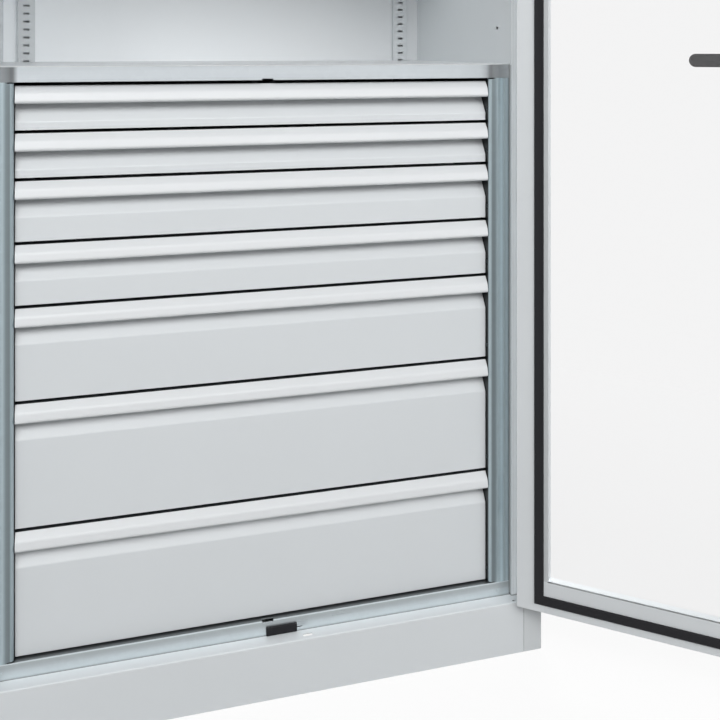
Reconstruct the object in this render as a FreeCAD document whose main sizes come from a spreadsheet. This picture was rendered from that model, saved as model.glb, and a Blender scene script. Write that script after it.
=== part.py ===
import FreeCAD, Part
import math
import os
import Sketcher
from types import SimpleNamespace

# A tall steel cupboard with a bank of drawers below, shelves above and two glazed doors.
# Origin: on the floor, at the middle of the plinth's front face. +X is to the right of someone
# facing the doors, +Y runs back into the cupboard, +Z is up. Millimetres.

doc = FreeCAD.newDocument("glazed_tool_cabinet")
sheet = doc.addObject("Spreadsheet::Sheet", "Sizes")

dimensions = [
    ("width", 980, "carcass, outside to outside"),
    ("depth", 550, "carcass, front of the plinth to the back"),
    ("height", 1950, "floor to top"),
    ("skin", 1.5, "sheet thickness of the carcass"),
    ("bend", 2.2, "outside radius of the carcass's folded edges"),
    ("sideThick", 35, "side panel, outer skin to jamb face"),
    ("stopWide", 13.6, "jamb face in to the inner liner: the step that the door shuts against"),
    ("stopSetback", 22, "front of the plinth to that step"),
    ("plinthHigh", 90, "floor to the top of the sill"),
    ("plinthFlange", 26, "return under the plinth's front"),
    ("sillDeep", 60, "sill, front to back"),
    ("lintelHigh", 35, "hollow top panel"),
    ("backDeep", 37, "back panel with its folded edges"),
    ("backFlange", 20, "folded edge of the back panel and the floor panel"),
    ("railSetback", 28.7, "front of the plinth to the front of the drawer housing"),
    ("housingGap", 1.4, "liner to the drawer housing"),
    ("postWide", 39, "front post of the drawer housing"),
    ("postReturn", 40, "post's fold back along its outer edge"),
    ("lipBevel", 4, "slanted lip on the post's inner edge"),
    ("grooveNear", 18, "lip to the near side of the post's shallow groove"),
    ("grooveMiddle", 29, "lip to the bottom of the groove"),
    ("grooveDeep", 1.5, "depth of the groove"),
    ("housingBackGap", 2, "drawer housing to the back panel"),
    ("bottomRailHigh", 24.5, "sill to the bottom rail's edge"),
    ("cornerSlotWide", 10.6, "slot between the post's end and a rail, at the bay's corner"),
    ("cornerSlotHigh", 2, "that slot's height"),
    ("railPlay", 0.3, "bottom rail to the cut-outs in the housing's sides"),
    ("topRailHigh", 23.8, "height of the top rail"),
    ("railDeep", 34, "folded flange of the rails"),
    ("notchWide", 19, "notch at the middle of both rails"),
    ("notchHigh", 2.5, "height of the rail notch"),
    ("shelfSkin", 1.5, "sheet thickness of the shelves"),
    ("shelfOverhang", 0.5, "fixed shelf in front of the drawer housing"),
    ("shelfLip", 25, "folded front edge of a loose shelf"),
    ("shelfLowerUp", 320, "fixed shelf to the lower loose shelf, taken to its nearest slot"),
    ("shelfUpperUp", 576, "fixed shelf to the upper loose shelf, taken to its nearest slot"),
    ("shelfSide", 2.5, "loose shelf to the liner"),
    ("shelfSetback", 56.5, "front of the plinth to a loose shelf"),
    ("uprightWide", 33, "slotted upright"),
    ("uprightDeep", 10, "slotted upright, off the back panel"),
    ("uprightInset", 44.4, "liner to the middle of an upright"),
    ("slotWide", 11.6, "slot in the upright"),
    ("slotHigh", 4.4, "slot in the upright"),
    ("slotPitch", 16, "slot to slot"),
    ("slotUnder", 1.2, "top of the fixed shelf down to the lower edge of the first slots"),
    ("clipLong", 22, "shelf clip"),
    ("clipThick", 3, "shelf clip"),
    ("clipPegDeep", 4, "shelf clip's tongue in its slot"),
    ("clipPlay", 0.2, "shelf clip to the sides of its slot"),
    ("doorGap", 2, "door to the sill and to the lintel"),
    ("doorSide", 2.5, "door to the jamb"),
    ("doorMeet", 3, "door to door at the middle"),
    ("doorThick", 20, "door, outer face to inner face"),
    ("doorInset", 0.5, "front of the plinth to the door's outer face"),
    ("doorSkin", 1.2, "sheet thickness of the doors"),
    ("doorOpenAngle", 137.5, "how far the doors stand open, degrees"),
    ("stileHinge", 55.4, "door edge to window on the hinge side"),
    ("stileLock", 92, "door edge to window on the free side"),
    ("doorRailLow", 54.2, "door edge to window at the bottom"),
    ("doorRailTop", 54.2, "door edge to window at the top"),
    ("paneThick", 4, "door pane"),
    ("paneInset", 14.8, "door's outer face to the pane"),
    ("paneCover", 8, "pane's edge behind the frame"),
    ("paneClear", 0.2, "pane to its groove"),
    ("gasketWide", 15.6, "seal on the door's inner face"),
    ("gasketThick", 3.2, "seal on the door's inner face"),
    ("gasketSide", 31.6, "door edge to seal at the sides"),
    ("gasketEnd", 13.8, "door edge to seal at top and bottom"),
    ("gasketLock", 62, "door's free edge to the seal"),
    ("hingeInset", 4.5, "jamb to the hinge axis"),
    ("hingeY", -0.6, "front of the plinth to the hinge axis"),
    ("knuckleRad", 4, "hinge knuckle"),
    ("hingePinRad", 2, "hinge pin"),
    ("hingePlay", 0.05, "hinge pin to its bore"),
    ("hingeLong", 66, "hinge, end to end"),
    ("hingeEnd", 160, "hinge's middle to the door's end"),
    ("hingeCut", 0.5, "room round a knuckle in the door's edge"),
    ("leafWide", 17.4, "hinge leaf on the jamb"),
    ("rodInset", 63, "door's free edge to the middle of the lock rod"),
    ("rodIn", 11.5, "door's outer face to the middle of the lock rod"),
    ("rodWide", 12, "lock rod"),
    ("rodThick", 5, "lock rod"),
    ("rodSlotWide", 16, "slot for the lock rod"),
    ("rodSlotDeep", 7.5, "slot for the lock rod"),
    ("rodHide", 1, "lock rod's end inside the door when unlocked"),
    ("caseHigh", 130, "lock case inside the door"),
    ("caseClear", 1, "lock case to the pane's edge"),
    ("handleZ", 1050, "floor to the handle's pivot"),
    ("plateWide", 36, "handle plate"),
    ("plateHigh", 165, "handle plate"),
    ("plateThick", 5, "handle plate"),
    ("plateDrop", 35, "handle pivot to the middle of the plate"),
    ("spindleRad", 7, "handle's spindle"),
    ("spindlePlay", 0.06, "spindle and cylinder to their bores"),
    ("sheetRoom", 0.5, "spindle and cylinder to the holes in the door's sheet"),
    ("leverLong", 104, "handle lever, pivot to tip"),
    ("leverWide", 22, "handle lever"),
    ("leverThick", 9, "handle lever"),
    ("leverOff", 14, "handle plate to the lever"),
    ("hubRad", 14, "handle hub"),
    ("hubClear", 0.3, "handle hub to its plate"),
    ("cylinderRad", 8.5, "key cylinder"),
    ("cylinderDrop", 70, "handle pivot to the key cylinder"),
    ("cylinderProud", 2, "key cylinder in front of its plate"),
    ("keyWide", 7, "key slot"),
    ("keyThick", 1.6, "key slot"),
    ("keyDeep", 6, "key slot"),
    ("bumperStart", -2.8, "middle to the bumper's left end"),
    ("bumperLong", 52, "rubber bumper"),
    ("bumperHigh", 14, "rubber bumper"),
    ("bumperThick", 4.2, "rubber bumper"),
    ("bumperLift", 0.4, "sill to the bumper"),
    ("tabSlotLong", 10, "slot in the bottom rail beside the bumper"),
    ("tabSlotHigh", 1.5, "that slot's height"),
    ("tabSlotUp", 5, "sill to that slot"),
    ("screwInset", 20.5, "end of the bottom rail to the rail screw"),
    ("screwUp", 9, "sill to the rail screw"),
    ("screwHeadRad", 3.5, "rail screw head"),
    ("screwHead", 1.2, "rail screw head height"),
    ("screwRad", 2, "rail screw shank"),
    ("screwLong", 6, "rail screw shank"),
    ("screwPlay", 0.05, "rail screw to its hole"),
    ("dimpleInset", 16.4, "jamb to the small hole in the sill"),
    ("dimpleY", 7, "front of the plinth to that hole"),
    ("dimpleRad", 2.6, "small hole in the sill"),
    ("stackUnder", 1.8, "bottom rail to the lowest drawer front"),
    ("stackOver", 0.7, "top of the drawer stack to the top rail"),
    ("frontSide", 1, "drawer front to the side of the bay"),
    ("faceSetback", 13.3, "front of the drawer housing to the drawer fronts"),
    ("frontDeep", 24, "drawer front, face to back rim"),
    ("frontSkin", 1.2, "sheet thickness of a drawer front"),
    ("frontFlange", 14, "flanges behind a drawer front, which the tray is fixed to"),
    ("frontGap", 5, "gap over each drawer front"),
    ("recessDeep", 19, "grip recess behind the face"),
    ("recessSlope", 62, "top of the pitch to the foot of the sloping face"),
    ("gripHigh", 28, "handle strip"),
    ("gripTopProud", 0.4, "handle strip's top edge in front of the face"),
    ("gripProud", 12.7, "handle strip's fullest point in front of the face"),
    ("gripFull", 22.5, "strip's top to its fullest point"),
    ("gripTuck", 5.5, "how far the strip's bottom edge curls back"),
    ("gripCurve", 40, "curve of the strip's front"),
    ("gripCurl", 5.5, "curve of the strip's lower edge"),
    ("gripWall", 2.4, "wall of the handle strip"),
    ("gripCap", 2, "closed end of the handle strip"),
    ("smallPitch", 75, "first and second drawer, counted from the top"),
    ("mediumPitch", 100, "third and fourth drawer"),
    ("largePitch", 150, "fifth drawer"),
    ("deepPitch", 200, "sixth and seventh drawer"),
    ("trayRoom", 26, "side of the bay to the tray"),
    ("trayBack", 26, "tray to the back of the housing"),
    ("traySkin", 1, "sheet thickness of a tray"),
    ("trayTop", 12, "top of the pitch to the tray's rim"),
    ("trayBottom", 7, "front's lower edge to the tray's underside"),
    ("trayRailDeep", 8, "flange of the tray's running rail"),
    ("runnerLift", 12, "front's lower edge to the runner"),
    ("runnerHigh", 22, "runner"),
    ("runnerDeep", 11, "fixed runner, off the housing"),
    ("runnerWall", 2, "walls of the runners"),
    ("runnerPlay", 0.3, "running clearance of the slides"),
    ("runnerBack", 20.5, "fixed runner to the back of the housing"),
    ("slideBack", 40.5, "middle member of the slide to the back of the housing"),
    ("runnerStart", 1.5, "drawer front's rim to the runner"),
    ("latchLong", 8, "latch slot in the housing beside each front"),
    ("latchHigh", 7, "latch slot"),
    ("latchLift", 18, "front's lower edge to its latch slot"),
    ("frontSlotPitch", 64, "shelf slot to shelf slot in the liner"),
    ("frontSlotY", 78, "front of the plinth to the slots in the liner"),
]

for row, (alias, value, note) in enumerate(dimensions, start=1):
    sheet.set(f"A{row}", note)
    sheet.set(f"B{row}", str(value))
    sheet.setAlias(f"B{row}", alias)
doc.recompute()


class Size:
    """A length together with the spreadsheet formula that it comes from."""

    def __init__(self, formula, value):
        self.formula = formula
        self.value = value

    def __add__(self, other):
        return combine(self, "+", other)

    def __radd__(self, other):
        return combine(other, "+", self)

    def __sub__(self, other):
        return combine(self, "-", other)

    def __rsub__(self, other):
        return combine(other, "-", self)

    def __mul__(self, other):
        return combine(self, "*", other)

    def __rmul__(self, other):
        return combine(other, "*", self)

    def __truediv__(self, other):
        return combine(self, "/", other)

    def __neg__(self):
        return combine(0, "-", self)


def as_size(number):
    if isinstance(number, Size):
        return number
    return Size(f"({number})", float(number))


def combine(left, sign, right):
    left, right = as_size(left), as_size(right)
    results = {
        "+": left.value + right.value,
        "-": left.value - right.value,
        "*": left.value * right.value,
        "/": left.value / right.value if right.value else 0.0,
    }
    return Size(f"({left.formula} {sign} {right.formula})", results[sign])


s = SimpleNamespace(**{alias: Size(f"Sizes.{alias}", float(value)) for alias, value, note in dimensions})
parts = {}


def bind(thing, target, length):
    """Tie one property of an object to its formula."""
    thing.setExpression(target, as_size(length).formula)


def place(thing, x=None, y=None, z=None, turn=None):
    for target, length in (("Base.x", x), ("Base.y", y), ("Base.z", z), ("Rotation.Angle", turn)):
        if length is not None:
            bind(thing, f"Placement.{target}", length)
    return thing


def block(name, x, y, z):
    """A box from its low and high limits along each axis."""
    box = doc.addObject("Part::Box", name)
    for prop, target, (low, high) in zip(("Length", "Width", "Height"), "xyz", (x, y, z)):
        bind(box, prop, as_size(high) - low)
        bind(box, f"Placement.Base.{target}", low)
    return box


def rod(name, radius, length, at, axis="z"):
    """A cylinder that starts at a point and runs along +Z or +Y."""
    cylinder = doc.addObject("Part::Cylinder", name)
    bind(cylinder, "Radius", radius)
    bind(cylinder, "Height", length)
    if axis == "y":
        cylinder.Placement.Rotation = FreeCAD.Rotation(FreeCAD.Vector(1, 0, 0), -90)
    place(cylinder, *at)
    return cylinder


def fuse(name, shapes):
    joined = doc.addObject("Part::MultiFuse", name)
    joined.Shapes = shapes
    return joined


def cut(name, base, tools):
    tool = tools[0] if len(tools) == 1 else fuse(name + "_tools", tools)
    result = doc.addObject("Part::Cut", name)
    result.Base = base
    result.Tool = tool
    return result


def group(name, shapes):
    together = doc.addObject("Part::Compound", name)
    together.Links = shapes
    return together


def mirrored(side, low, high):
    """Limits along X on the right (side 1) or on the left (side -1)."""
    return (as_size(low), as_size(high)) if side > 0 else (-as_size(high), -as_size(low))


def flipped(corners):
    """An outline on the other side of X = 0, still counter-clockwise. A corner's radius belongs to
    the edge after it, so it passes to the corner before."""
    turned = []
    for index in reversed(range(len(corners))):
        x, y = corners[index][:2]
        turned.append((-x, y) + corners[index - 1][2:])
    return turned


def outline(sketch, corners):
    """Draw a closed loop, counter-clockwise. A corner is (x, y), or (x, y, radius) where the edge
    from it to the next corner is an arc that bulges outwards."""
    first = sketch.GeometryCount
    count = len(corners)
    spots = [FreeCAD.Vector(as_size(c[0]).value, as_size(c[1]).value, 0) for c in corners]
    for index, corner in enumerate(corners):
        here, there = spots[index], spots[(index + 1) % count]
        if len(corner) == 3:
            radius = corner[2].value
            chord = there - here
            drop = math.sqrt(radius**2 - (chord.Length / 2) ** 2)
            normal = FreeCAD.Vector(-chord.y, chord.x, 0).normalize()
            centre = (here + there) / 2 + normal * drop
            circle = Part.Circle(centre, FreeCAD.Vector(0, 0, 1), radius)
            begin = math.atan2(here.y - centre.y, here.x - centre.x)
            end = math.atan2(there.y - centre.y, there.x - centre.x)
            sketch.addGeometry(Part.ArcOfCircle(circle, begin, end), False)
        else:
            sketch.addGeometry(Part.LineSegment(here, there), False)
    for index, corner in enumerate(corners):
        edge = first + index
        sketch.addConstraint(
            Sketcher.Constraint("Coincident", edge, 2, first + (index + 1) % count, 1)
        )
    for index, corner in enumerate(corners):
        edge = first + index
        for kind, length in (("DistanceX", corner[0]), ("DistanceY", corner[1])):
            made = sketch.addConstraint(
                Sketcher.Constraint(kind, -1, 1, edge, 1, as_size(length).value)
            )
            bind(sketch, f"Constraints[{made}]", length)
        if len(corner) == 3:
            made = sketch.addConstraint(Sketcher.Constraint("Radius", edge, corner[2].value))
            bind(sketch, f"Constraints[{made}]", corner[2])


def sketch_on(body, plane, name, corners):
    sketch = body.newObject("Sketcher::SketchObject", name)
    origin_plane = [face for face in body.Origin.OriginFeatures if face.Role == plane][0]
    sketch.AttachmentSupport = [(origin_plane, "")]
    sketch.MapMode = "FlatFace"
    outline(sketch, corners)
    return sketch


def extrusion(name, plane, corners, start, length):
    """A body padded from a closed outline: along +Z from XY_Plane, along +X from YZ_Plane."""
    body = doc.addObject("PartDesign::Body", name)
    sketch = sketch_on(body, plane, name + "_outline", corners)
    pad = body.newObject("PartDesign::Pad", name + "_pad")
    pad.Profile = sketch
    bind(pad, "Length", length)
    along = {"XY_Plane": "z", "YZ_Plane": "x"}[plane]
    place(body, **{along: start})
    return body


def hollow(body, plane, corners, start, length):
    """Cut a closed outline out of a body, from a distance along its pad."""
    sketch = sketch_on(body, plane, body.Name + "_hollow_outline", corners)
    along = {"XY_Plane": "Base.z", "YZ_Plane": "Base.z"}[plane]
    bind(sketch, f"AttachmentOffset.{along}", start)
    pocket = body.newObject("PartDesign::Pocket", body.Name + "_hollow")
    pocket.Profile = sketch
    pocket.Reversed = True
    bind(pocket, "Length", length)
    return body


def rectangle(x, y):
    return [(x[0], y[0]), (x[1], y[0]), (x[1], y[1]), (x[0], y[1])]


def keep(label, thing):
    thing.Label = label
    parts[label] = thing
    return thing


sides = {"left": -1, "right": 1}
# Drawers, counted from the top.
pitches = [
    s.smallPitch,
    s.smallPitch,
    s.mediumPitch,
    s.mediumPitch,
    s.largePitch,
    s.deepPitch,
    s.deepPitch,
]

# Across: from the outside of the carcass in to the trays.
outerHalf = s.width / 2
jambHalf = outerHalf - s.sideThick
linerHalf = jambHalf - s.stopWide
hingeX = jambHalf - s.hingeInset
uprightX = linerHalf - s.uprightInset
housingHalf = linerHalf - s.housingGap
screwX = housingHalf - s.screwInset
bayHalf = housingHalf - s.postWide
frontHalf = bayHalf - s.frontSide
trayHalf = bayHalf - s.trayRoom
doorFree = s.doorMeet / 2
rodX = doorFree + s.rodInset

# Front to back.
doorFront = s.doorInset
rodY = doorFront + s.rodIn
railBack = s.railSetback + s.railDeep
railEndBack = s.railSetback + s.lipBevel + s.skin * 2
faceY = s.railSetback + s.faceSetback
rimY = faceY + s.frontDeep
runnerY = rimY + s.runnerStart
backY = s.depth - s.backDeep
housingBack = backY - s.housingBackGap
trayDeep = housingBack - s.trayBack - rimY
runnerLong = housingBack - s.runnerBack - runnerY
slideLong = housingBack - s.slideBack - runnerY
uprightFront = backY - s.uprightDeep

# Upwards.
bottomRailTop = s.plinthHigh + s.bottomRailHigh
frontTop = sum(pitches, bottomRailTop + s.stackUnder)
topRailLow = frontTop + s.stackOver
housingTop = topRailLow + s.topRailHigh
shelfZ = housingTop + s.shelfSkin
slotZ = shelfZ - s.slotUnder
ceilingZ = s.height - s.lintelHigh


def side_panel(name, side):
    """Hollow wall: outer skin, jamb with the door's stop, inner liner, closed at the top."""
    plan = [
        (jambHalf, s.bend, s.bend),
        (jambHalf + s.bend, as_size(0)),
        (outerHalf - s.bend, as_size(0), s.bend),
        (outerHalf, s.bend),
        (outerHalf, s.depth - s.bend, s.bend),
        (outerHalf - s.bend, s.depth),
        (linerHalf, s.depth),
        (linerHalf, s.stopSetback),
        (jambHalf, s.stopSetback),
    ]
    inside = [
        (jambHalf + s.skin, s.skin),
        (outerHalf - s.skin, s.skin),
        (outerHalf - s.skin, s.depth - s.skin),
        (linerHalf + s.skin, s.depth - s.skin),
        (linerHalf + s.skin, s.stopSetback + s.skin),
        (jambHalf + s.skin, s.stopSetback + s.skin),
    ]
    if side < 0:
        plan, inside = flipped(plan), flipped(inside)
    wall = extrusion(name + "_wall", "XY_Plane", plan, 0, s.height)
    hollow(wall, "XY_Plane", inside, 0, s.height - s.skin)
    slots = []
    for step in front_slot_steps:
        low = slotZ + s.frontSlotPitch * step
        slots.append(
            block(
                f"{name}_slot_{step}",
                mirrored(side, linerHalf - s.skin, linerHalf + s.skin * 1.5),
                (s.frontSlotY, s.frontSlotY + s.slotWide),
                (low, low + s.slotHigh),
            )
        )
    keep(name, cut(name, wall, slots))


# Shelf slots: the uprights' slots start at the fixed shelf, and the liner has one slot to every
# fourth slot of the uprights, so that a clip front and back hold a shelf level.
upper_room = ceilingZ - shelfZ
front_slot_count = int((upper_room.value - s.frontSlotPitch.value / 2) / s.frontSlotPitch.value)
front_slot_steps = range(1, front_slot_count + 1)
upright_slot_count = int((upper_room.value - s.slotPitch.value) / s.slotPitch.value)

for word, side in sides.items():
    side_panel(f"side_panel_{word}", side)


def stop_notches(name):
    """What is taken off the ends of a piece between the jambs, behind the step in them."""
    return [
        block(
            f"{name}_end_{word}",
            mirrored(side, linerHalf, jambHalf + s.skin),
            (s.stopSetback, s.depth + s.skin),
            (-s.skin, s.height + s.skin),
        )
        for word, side in sides.items()
    ]


def top_panel():
    """Hollow top between the side panels; its front is the lintel over the doors."""
    outer = rectangle((as_size(0), s.depth), (ceilingZ, s.height))
    inner = rectangle((s.skin, s.depth - s.skin), (ceilingZ + s.skin, s.height - s.skin))
    box = extrusion("top_box", "YZ_Plane", outer, -jambHalf, jambHalf * 2)
    hollow(box, "YZ_Plane", inner, 0, jambHalf * 2)
    slot = block(
        "top_rod_slot",
        (rodX - s.rodSlotWide / 2, rodX + s.rodSlotWide / 2),
        (rodY - s.rodSlotDeep / 2, rodY + s.rodSlotDeep / 2),
        (ceilingZ - s.skin, ceilingZ + s.skin * 2),
    )
    keep("top_panel", cut("top_panel", box, [slot] + stop_notches("top")))


def back_panel():
    """Sheet with its four edges folded back, from the floor to the top panel."""
    pan = block("back_pan", (-linerHalf, linerHalf), (backY, s.depth), (as_size(0), ceilingZ))
    pocket = block(
        "back_pocket",
        (-linerHalf + s.skin, linerHalf - s.skin),
        (backY + s.skin, s.depth + s.skin),
        (s.skin, ceilingZ - s.skin),
    )
    keep("back_panel", cut("back_panel", pan, [pocket]))


def plinth_sill():
    """Folded sheet: sill, plinth front and the flange that the cupboard stands on."""
    folded = [
        (as_size(0), as_size(0)),
        (s.plinthFlange, as_size(0)),
        (s.plinthFlange, s.skin),
        (s.skin, s.skin),
        (s.skin, s.plinthHigh - s.skin),
        (s.sillDeep, s.plinthHigh - s.skin),
        (s.sillDeep, s.plinthHigh),
        (s.bend, s.plinthHigh, s.bend),
        (as_size(0), s.plinthHigh - s.bend),
    ]
    sill = extrusion("sill_fold", "YZ_Plane", folded, -jambHalf, jambHalf * 2)
    rod_slot = block(
        "sill_rod_slot",
        (rodX - s.rodSlotWide / 2, rodX + s.rodSlotWide / 2),
        (rodY - s.rodSlotDeep / 2, rodY + s.rodSlotDeep / 2),
        (s.plinthHigh - s.skin * 2, s.plinthHigh + s.skin),
    )
    holes = [
        rod(
            f"sill_hole_{word}",
            s.dimpleRad,
            s.skin * 3,
            ((jambHalf - s.dimpleInset) * side, s.dimpleY, s.plinthHigh - s.skin * 2),
        )
        for word, side in sides.items()
    ]
    keep("plinth_sill", cut("plinth_sill", sill, [rod_slot] + holes + stop_notches("sill")))


def base_panel():
    """Floor panel behind the sill, with edges folded down at the front and back."""
    folded = [
        (s.sillDeep, s.plinthHigh - s.backFlange),
        (s.sillDeep + s.skin, s.plinthHigh - s.backFlange),
        (s.sillDeep + s.skin, s.plinthHigh - s.skin),
        (backY - s.skin, s.plinthHigh - s.skin),
        (backY - s.skin, s.plinthHigh - s.backFlange),
        (backY, s.plinthHigh - s.backFlange),
        (backY, s.plinthHigh),
        (s.sillDeep, s.plinthHigh),
    ]
    keep("base_panel", extrusion("base_panel", "YZ_Plane", folded, -linerHalf, linerHalf * 2))


def divider_shelf():
    """Fixed sheet over the drawers: the floor of the upper compartment."""
    limits = rectangle((s.railSetback - s.shelfOverhang, backY), (housingTop, shelfZ))
    shelf_sheet = extrusion("divider_shelf", "YZ_Plane", limits, -linerHalf, linerHalf * 2)
    keep("divider_shelf", shelf_sheet)


top_panel()
back_panel()
plinth_sill()
base_panel()
divider_shelf()


# Drawer housing: two folded sides and two rails of bare galvanised sheet.
def housing_side(name, side):
    """One folded sheet: front post with a slanted lip and a shallow groove, side wall, rear flange.
    The post stands between the two rails, whose faces run past its ends."""
    front = s.railSetback
    inner = bayHalf
    outer = housingHalf
    plan = [
        (inner, front + s.lipBevel),
        (inner + s.lipBevel, front),
        (inner + s.grooveNear, front),
        (inner + s.grooveMiddle, front + s.grooveDeep),
        (outer, front),
        (outer, front + s.postReturn),
        (outer - s.skin, front + s.postReturn),
        (outer - s.skin, front + s.skin + s.grooveDeep),
        (inner + s.grooveMiddle, front + s.grooveDeep + s.skin),
        (inner + s.grooveNear, front + s.skin),
        (inner + s.lipBevel + s.skin / 2, front + s.skin),
        (inner + s.skin, front + s.lipBevel + s.skin / 2),
        (inner + s.skin, housingBack - s.skin),
        (outer, housingBack - s.skin),
        (outer, housingBack),
        (inner, housingBack),
    ]
    if side < 0:
        plan = flipped(plan)
    wall = extrusion(name + "_fold", "XY_Plane", plan, s.plinthHigh, housingTop - s.plinthHigh)
    ends = []
    for word, low, high in (
        ("foot", s.plinthHigh - s.skin, bottomRailTop),
        ("head", topRailLow, housingTop + s.skin),
    ):
        ends.append(
            block(
                f"{name}_{word}_cut",
                mirrored(side, inner - s.skin, outer + s.skin),
                (front - s.skin, railEndBack),
                (low, high),
            )
        )
    shoulder = block(
        name + "_shoulder_cut",
        mirrored(side, inner - s.skin, inner + s.skin * 2),
        (front + s.lipBevel, railBack + s.railPlay),
        (s.plinthHigh - s.skin, bottomRailTop),
    )
    cuts = ends + [shoulder]
    for word, low in (("low", bottomRailTop), ("high", topRailLow - s.cornerSlotHigh)):
        cuts.append(
            block(
                f"{name}_corner_slot_{word}",
                mirrored(side, inner - s.skin, inner + s.cornerSlotWide),
                (front - s.skin, front + s.lipBevel * 2),
                (low, low + s.cornerSlotHigh),
            )
        )
    for number, (top, pitch) in enumerate(stack, start=1):
        low = top - pitch + s.latchLift
        cuts.append(
            block(
                f"{name}_latch_{number}",
                mirrored(side, inner - s.skin, inner + s.skin * 2),
                (faceY - s.latchLong, faceY - s.skin),
                (low, low + s.latchHigh),
            )
        )
    keep(name, cut(name, wall, cuts))


def rail_notch(name, low, high):
    return block(
        name,
        (-s.notchWide / 2, s.notchWide / 2),
        (s.railSetback - s.skin, s.railSetback + s.lipBevel * 2),
        (low, high),
    )


def rail_end(name, side, front, low, high):
    """Room for the housing's side wall, behind the face of a rail."""
    return block(
        name,
        mirrored(side, bayHalf, housingHalf + s.skin),
        (front, railBack + s.skin),
        (low, high),
    )


def bottom_rail():
    """Angle along the sill: upright face, flat ledge behind its edge, notch and a slot by the bumper."""
    front = s.railSetback
    folded = [
        (front, s.plinthHigh),
        (front + s.skin, s.plinthHigh),
        (front + s.skin, bottomRailTop - s.skin),
        (railBack, bottomRailTop - s.skin),
        (railBack, bottomRailTop),
        (front, bottomRailTop),
    ]
    rail = extrusion("bottom_rail_fold", "YZ_Plane", folded, -housingHalf, housingHalf * 2)
    tab_start = s.bumperStart + s.bumperLong
    cuts = [
        rail_notch("bottom_rail_notch", bottomRailTop - s.notchHigh, bottomRailTop + s.skin),
        block(
            "bottom_rail_tab_slot",
            (tab_start, tab_start + s.tabSlotLong),
            (front - s.skin, front + s.skin * 2),
            (s.plinthHigh + s.tabSlotUp, s.plinthHigh + s.tabSlotUp + s.tabSlotHigh),
        ),
    ]
    for word, side in sides.items():
        cuts.append(
            rod(
                f"bottom_rail_hole_{word}",
                s.screwRad,
                s.skin * 3,
                (screwX * side, front - s.skin, (s.plinthHigh + s.screwUp)),
                "y",
            )
        )
        limits = (bottomRailTop - s.skin * 2, bottomRailTop + s.skin)
        cuts.append(rail_end(f"bottom_rail_end_{word}", side, railEndBack, *limits))
    keep("bottom_rail", cut("bottom_rail", rail, cuts))


def top_rail():
    """Channel under the fixed shelf, open at the back, with a notch in its lower edge."""
    front = s.railSetback
    folded = [
        (front, topRailLow),
        (front + s.lipBevel * 2, topRailLow),
        (front + s.lipBevel * 2, topRailLow + s.skin),
        (front + s.skin, topRailLow + s.skin),
        (front + s.skin, housingTop - s.skin),
        (railBack, housingTop - s.skin),
        (railBack, housingTop),
        (front, housingTop),
    ]
    rail = extrusion("top_rail_fold", "YZ_Plane", folded, -housingHalf, housingHalf * 2)
    cuts = [rail_notch("top_rail_notch", topRailLow - s.skin, topRailLow + s.notchHigh)]
    for word, side in sides.items():
        lip = (front + s.skin, topRailLow - s.skin, topRailLow + s.skin * 2)
        flange = (railEndBack, housingTop - s.skin * 2, housingTop + s.skin)
        cuts.append(rail_end(f"top_rail_lip_end_{word}", side, *lip))
        cuts.append(rail_end(f"top_rail_flange_end_{word}", side, *flange))
    keep("top_rail", cut("top_rail", rail, cuts))


def rail_screws():
    """Pan-head screws that hold the bottom rail."""
    screws = []
    for word, side in sides.items():
        head = rod(
            f"screw_head_{word}",
            s.screwHeadRad,
            s.screwHead,
            (screwX * side, s.railSetback - s.screwHead, (s.plinthHigh + s.screwUp)),
            "y",
        )
        shank = rod(
            f"screw_shank_{word}",
            s.screwRad - s.screwPlay,
            s.screwLong,
            (screwX * side, s.railSetback - s.screwHead / 2, (s.plinthHigh + s.screwUp)),
            "y",
        )
        screws.append(fuse(f"screw_{word}", [head, shank]))
    keep("rail_screws", group("rail_screws", screws))


def door_bumper():
    """Rubber block that the closing door lands on."""
    start = s.bumperStart
    front = s.railSetback - s.bumperThick
    low = s.plinthHigh + s.bumperLift
    block_limits = rectangle((front, s.railSetback), (low, low + s.bumperHigh))
    keep("door_bumper", extrusion("door_bumper", "YZ_Plane", block_limits, start, s.bumperLong))


stack = []
stackTop = frontTop
for pitch in pitches:
    stack.append((stackTop, pitch))
    stackTop = stackTop - pitch

for word, side in sides.items():
    housing_side(f"housing_side_{word}", side)
bottom_rail()
top_rail()
rail_screws()
door_bumper()

def drawer_front(name, top, pitch):
    """Folded front: grip recess, sloping face, flat face, and two flanges against the tray."""
    face = faceY
    wall = s.frontSkin
    recess = face + s.recessDeep
    bottom = top - pitch
    high = top - s.frontGap
    outer = [
        (face, bottom),
        (rimY, bottom),
        (rimY, high),
        (recess, high),
        (recess, high - s.gripHigh),
        (face, top - s.recessSlope),
    ]
    inner = [
        (face + wall, bottom + wall),
        (rimY - wall, bottom + wall),
        (rimY - wall, bottom + s.frontFlange),
        (rimY + wall, bottom + s.frontFlange),
        (rimY + wall, high - s.frontFlange),
        (rimY - wall, high - s.frontFlange),
        (rimY - wall, high - wall),
        (recess + wall, high - wall),
        (recess + wall, high - s.gripHigh),
        (face + wall, top - s.recessSlope),
    ]
    body = extrusion(name, "YZ_Plane", outer, -frontHalf, frontHalf * 2)
    hollow(body, "YZ_Plane", inner, wall, (frontHalf - wall) * 2)
    keep(name, body)


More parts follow.
